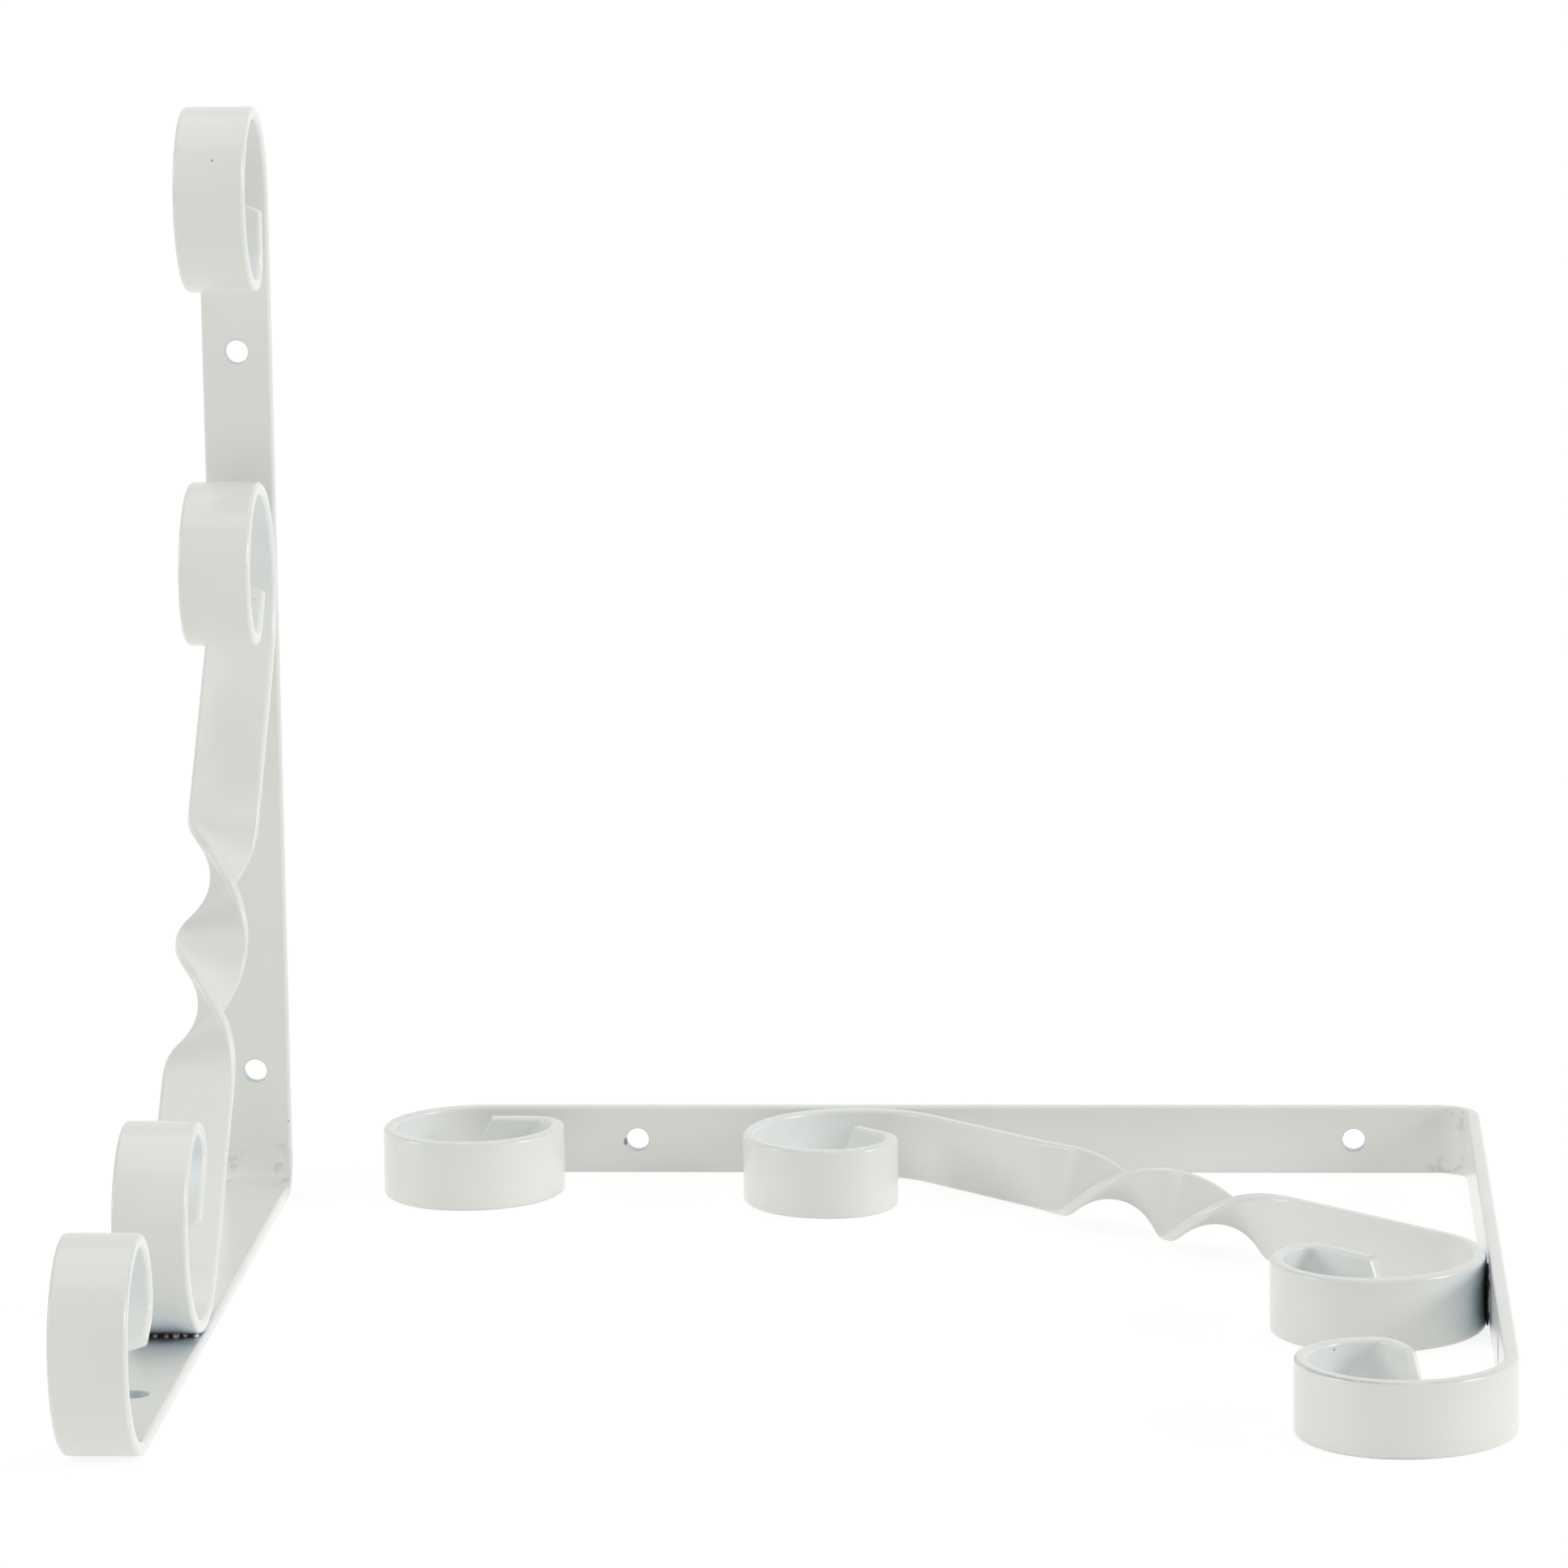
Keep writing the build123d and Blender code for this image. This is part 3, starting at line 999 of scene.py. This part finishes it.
def drill_holes(piece, place, settings, tree):
    """Cut the screw holes with a modifier; the cutter that it needs is returned."""
    sizes = settings.frame
    bar = settings.bar
    middle = bar.width / 2
    deep = bar.thickness + DRILL_CLEAR
    curve = bpy.data.curves.new("hole_axes", "CURVE")
    curve.dimensions = "3D"
    holes = [((u, -DRILL_CLEAR), (u, deep), sizes.wall_hole_size) for u in sizes.wall_holes]
    holes.append(((-DRILL_CLEAR, sizes.shelf_hole), (deep, sizes.shelf_hole), sizes.shelf_hole_size))
    for start, end, diameter in holes:
        spline = curve.splines.new("POLY")
        spline.points.add(1)
        for point, spot in zip(spline.points, (start, end)):
            point.co = (*place.at(*spot, middle), 1)
            point.radius = diameter / 2
    axes = bpy.data.objects.new("hole_axes", curve)
    bpy.context.scene.collection.objects.link(axes)
    values = {"Rim": sizes.hole_rim, "Thickness": bar.thickness, "Material": piece.data.materials[0]}
    grow(axes, tree, values)
    cutter = made_plain(axes, "hole_cutter")
    cut = piece.modifiers.new("Screw holes", "BOOLEAN")
    cut.operation = "DIFFERENCE"
    cut.solver = "EXACT"
    cut.object = cutter
    return cutter


FLAT_WEIGHT = 80


def keep_flats_flat(piece):
    """Weight the normals by face area, so the flats stay flat beside the rounded edges."""
    weighted = piece.modifiers.new("Flat faces", "WEIGHTED_NORMAL")
    weighted.mode = "FACE_AREA"
    weighted.weight = FLAT_WEIGHT
    weighted.keep_sharp = False


def settle(piece, place, slot, *nodes):
    """Fasten a finished piece to its bracket in place of its solids."""
    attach(piece, place.body)
    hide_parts(*nodes)


class BRACKETS_OT_frame_bars(Operator):
    """Make the coated frame bars of both brackets"""

    bl_idname = "brackets.frame_bars"
    bl_label = "Frame bars"

    def execute(self, context):
        settings = context.scene.brackets
        sweep = bar_tree()
        drill = drill_tree()
        points, lengths = frame_line(settings.frame, settings.bar)
        for place in bracket_places():
            material = coat_material(place, "frame", 1, lengths, settings)
            line = line_object("frame_line", place, points, settings.bar.width / 2)
            grow(line, sweep, bar_values(settings, place, material))
            blank = made_plain(line, "frame_blank")
            cutter = drill_holes(blank, place, settings, drill)
            keep_flats_flat(blank)
            piece = made_plain(blank, place.name + "_coated_frame")
            bpy.data.objects.remove(cutter)
            settle(piece, place, "powder_coat", place.name + "_frame_bar")
        return {"FINISHED"}


class BRACKETS_OT_brace_bars(Operator):
    """Make the coated, twisted brace bars of both brackets"""

    bl_idname = "brackets.brace_bars"
    bl_label = "Brace bars"

    def execute(self, context):
        settings = context.scene.brackets
        sweep = bar_tree()
        points, lengths = brace_line(settings.brace, settings.bar, settings.weld)
        for place in bracket_places():
            material = coat_material(place, "brace", -1, lengths, settings)
            line = line_object("brace_line", place, points, settings.bar.width / 2)
            grow(line, sweep, bar_values(settings, place, material))
            blank = made_plain(line, "brace_blank")
            keep_flats_flat(blank)
            piece = made_plain(blank, place.name + "_coated_brace")
            settle(piece, place, "powder_coat", place.name + "_brace_bar")
        return {"FINISHED"}


class BRACKETS_OT_weld_beads(Operator):
    """Make the weld beads between brace and frame of both brackets"""

    bl_idname = "brackets.weld_beads"
    bl_label = "Weld beads"

    def execute(self, context):
        settings = context.scene.brackets
        weld = settings.weld
        bar = settings.bar
        rows = bead_tree()
        reach = settings.brace.reach
        rise = reach - math.sqrt(reach**2 - weld.lead**2)
        middle = bar.thickness + (weld.gap + rise) / 2
        on_wall = settings.brace.on_wall + weld.lead
        on_shelf = settings.brace.on_shelf + weld.lead
        for place in bracket_places():
            spots = {
                "wall": (on_wall, middle, place.along_wall, place.along_shelf),
                "shelf": (middle, on_shelf, place.along_shelf, place.along_wall),
            }
            wide = weld.bead[1] * BEAD_SPREAD[place.name]
            tall = weld.bead[2] * BEAD_RISE[place.name]
            stray = BEAD_STRAY[place.name]
            first = weld.margin + wide / 2
            pitch = (bar.width - 2 * first) / max(1, weld.count - 1)
            for turn, (side, (u, v, along, off)) in enumerate(spots.items()):
                bead = along * weld.bead[0] + place.across * wide + off * tall
                values = {
                    "Count": weld.count,
                    "Start": tuple(place.at(u, v, first)),
                    "Step": tuple(place.across * pitch),
                    "Bead": tuple(abs(part) for part in bead),
                    "Stray": (stray, stray, stray),
                    "Seed": weld.seed + 2 * turn,
                    "Material": bead_material(place, side, settings),
                }
                source = bpy.data.objects.new("bead_row", bpy.data.meshes.new("bead_row"))
                context.scene.collection.objects.link(source)
                grow(source, rows, values)
                piece = made_plain(source, place.name + "_" + side + "_beads")
                settle(piece, place, "weld_bead", place.name + "_" + side + "_weld")
        return {"FINISHED"}


# The stage

CAMERA_PLACE = (0.08597, -1.48355, 0.37700)
CAMERA_TURN = math.radians(3.581)
CAMERA_PITCH = math.radians(9.948)
CAMERA_ROLL = math.radians(-0.748)
CAMERA_LENS = 162.63
CAMERA_SENSOR = 36.0

FLOOR_SIZE = 60.0
FLOOR_DROP = 0.05 * MM
FLOOR_GLOW = 0.84
FLOOR_SHADE = 0.25
FLOOR_BOUNCE = 0.16

WHITE = (1, 1, 1, 1)
ROOM = (1, 1, 0.98, 1)
LEFT_LIGHT = (-1.5, -0.35, 0.6)
RIGHT_LIGHT = (1.5, -0.35, 0.6)
TOP_LIGHT = (0, 0.3, 1.7)
SIDE_SPREAD = math.radians(22)
TOP_SPREAD = math.radians(60)


def plain_rays(writer):
    """1 for rays that show the background itself: camera, glossy and transmission rays."""
    camera = writer.node("ShaderNodeLightPath", output="Is Camera Ray")
    glossy = writer.other(camera, "Is Glossy Ray")
    through = writer.other(camera, "Is Transmission Ray")
    return camera.most(glossy).most(through)


def floor_material(stage):
    """Pale floor that looks white where the light is full and keeps soft shadows."""
    material = bpy.data.materials.new("pale_floor")
    material.use_nodes = True
    writer = NodeWriter(material.node_tree)
    writer.tree.nodes.clear()
    matt = writer.node("ShaderNodeBsdfDiffuse", None, {"Color": opaque(stage.floor)})
    bounce = writer.node("ShaderNodeEmission", None, {"Color": WHITE, "Strength": FLOOR_BOUNCE})
    matt = writer.node("ShaderNodeAddShader", None, {0: matt, 1: bounce})
    shade = writer.node("ShaderNodeBsdfDiffuse", None, {"Color": opaque(stage.floor, FLOOR_SHADE)})
    glow = writer.node("ShaderNodeEmission", None, {"Color": WHITE, "Strength": FLOOR_GLOW})
    seen = writer.node("ShaderNodeAddShader", None, {0: shade, 1: glow})
    mixed = writer.node("ShaderNodeMixShader", None, {0: plain_rays(writer), 1: matt, 2: seen})
    out = writer.tree.nodes.new("ShaderNodeOutputMaterial")
    writer.tree.links.new(mixed.socket, out.inputs["Surface"])
    return material


def soft_light(name, place, strength, spread):
    """A wide, even light from the direction of a place."""
    light = bpy.data.lights.new(name, "SUN")
    light.energy = strength
    light.angle = spread
    lamp = bpy.data.objects.new(name, light)
    lamp.location = place
    lamp.rotation_euler = (-Vector(place)).to_track_quat("-Z", "Y").to_euler()
    bpy.context.scene.collection.objects.link(lamp)


class BRACKETS_OT_stage(Operator):
    """Make the floor, the light and the camera"""

    bl_idname = "brackets.stage"
    bl_label = "Stage"

    def execute(self, context):
        scene = context.scene
        stage = scene.brackets.stage
        bpy.ops.mesh.primitive_plane_add(size=FLOOR_SIZE, location=(0, 0, -FLOOR_DROP))
        floor = context.active_object
        floor.name = "floor"
        floor.data.materials.append(floor_material(stage))

        world = bpy.data.worlds.new("soft_room")
        scene.world = world
        world.use_nodes = True
        writer = NodeWriter(world.node_tree)
        writer.tree.nodes.clear()
        room = writer.node("ShaderNodeBackground", None, {"Color": ROOM, "Strength": stage.ambient})
        white = writer.node("ShaderNodeBackground", None, {"Color": WHITE, "Strength": 1.0})
        mixed = writer.node("ShaderNodeMixShader", None, {0: plain_rays(writer), 1: room, 2: white})
        out = writer.tree.nodes.new("ShaderNodeOutputWorld")
        writer.tree.links.new(mixed.socket, out.inputs["Surface"])

        soft_light("left_light", LEFT_LIGHT, stage.left, SIDE_SPREAD)
        soft_light("right_light", RIGHT_LIGHT, stage.right, SIDE_SPREAD)
        soft_light("top_light", TOP_LIGHT, stage.top, TOP_SPREAD)

        lens = bpy.data.cameras.new("camera")
        lens.lens = CAMERA_LENS
        lens.sensor_width = CAMERA_SENSOR
        lens.sensor_fit = "HORIZONTAL"
        camera = bpy.data.objects.new("camera", lens)
        turned = Matrix.Rotation(CAMERA_TURN, 4, "Z")
        pitched = Matrix.Rotation(QUARTER - CAMERA_PITCH, 4, "X")
        rolled = Matrix.Rotation(CAMERA_ROLL, 4, "Z")
        camera.matrix_world = Matrix.Translation(CAMERA_PLACE) @ turned @ pitched @ rolled
        scene.collection.objects.link(camera)
        scene.camera = camera
        scene.view_settings.view_transform = "Standard"
        return {"FINISHED"}


class BRACKETS_PT_sidebar(Panel):
    """Sizes, colours and steps of the bracket pair"""

    bl_idname = "BRACKETS_PT_sidebar"
    bl_label = "Scroll shelf brackets"
    bl_space_type = "VIEW_3D"
    bl_region_type = "UI"
    bl_category = "Brackets"

    def draw(self, context):
        settings = context.scene.brackets
        shapes = (settings.bar, settings.frame, settings.brace, settings.weld)
        for group in (*shapes, settings.look, settings.stage):
            box = self.layout.box()
            for key in group.__annotations__:
                box.prop(group, key)
        for operator in OPERATORS:
            self.layout.operator(operator.bl_idname)


GROUPS = (BarSizes, FrameSizes, BraceSizes, WeldSizes, CoatLook, StageLook, BracketSettings)
OPERATORS = (BRACKETS_OT_frame_bars, BRACKETS_OT_brace_bars, BRACKETS_OT_weld_beads, BRACKETS_OT_stage)
CLASSES = (*GROUPS, *OPERATORS, BRACKETS_PT_sidebar)


def register():
    for made in CLASSES:
        bpy.utils.register_class(made)
    bpy.types.Scene.brackets = PointerProperty(type=BracketSettings)


def unregister():
    del bpy.types.Scene.brackets
    for made in reversed(CLASSES):
        bpy.utils.unregister_class(made)


def main():
    register()
    bpy.ops.brackets.frame_bars()
    bpy.ops.brackets.brace_bars()
    bpy.ops.brackets.weld_beads()
    bpy.ops.brackets.stage()


if __name__ == "__main__":
    main()
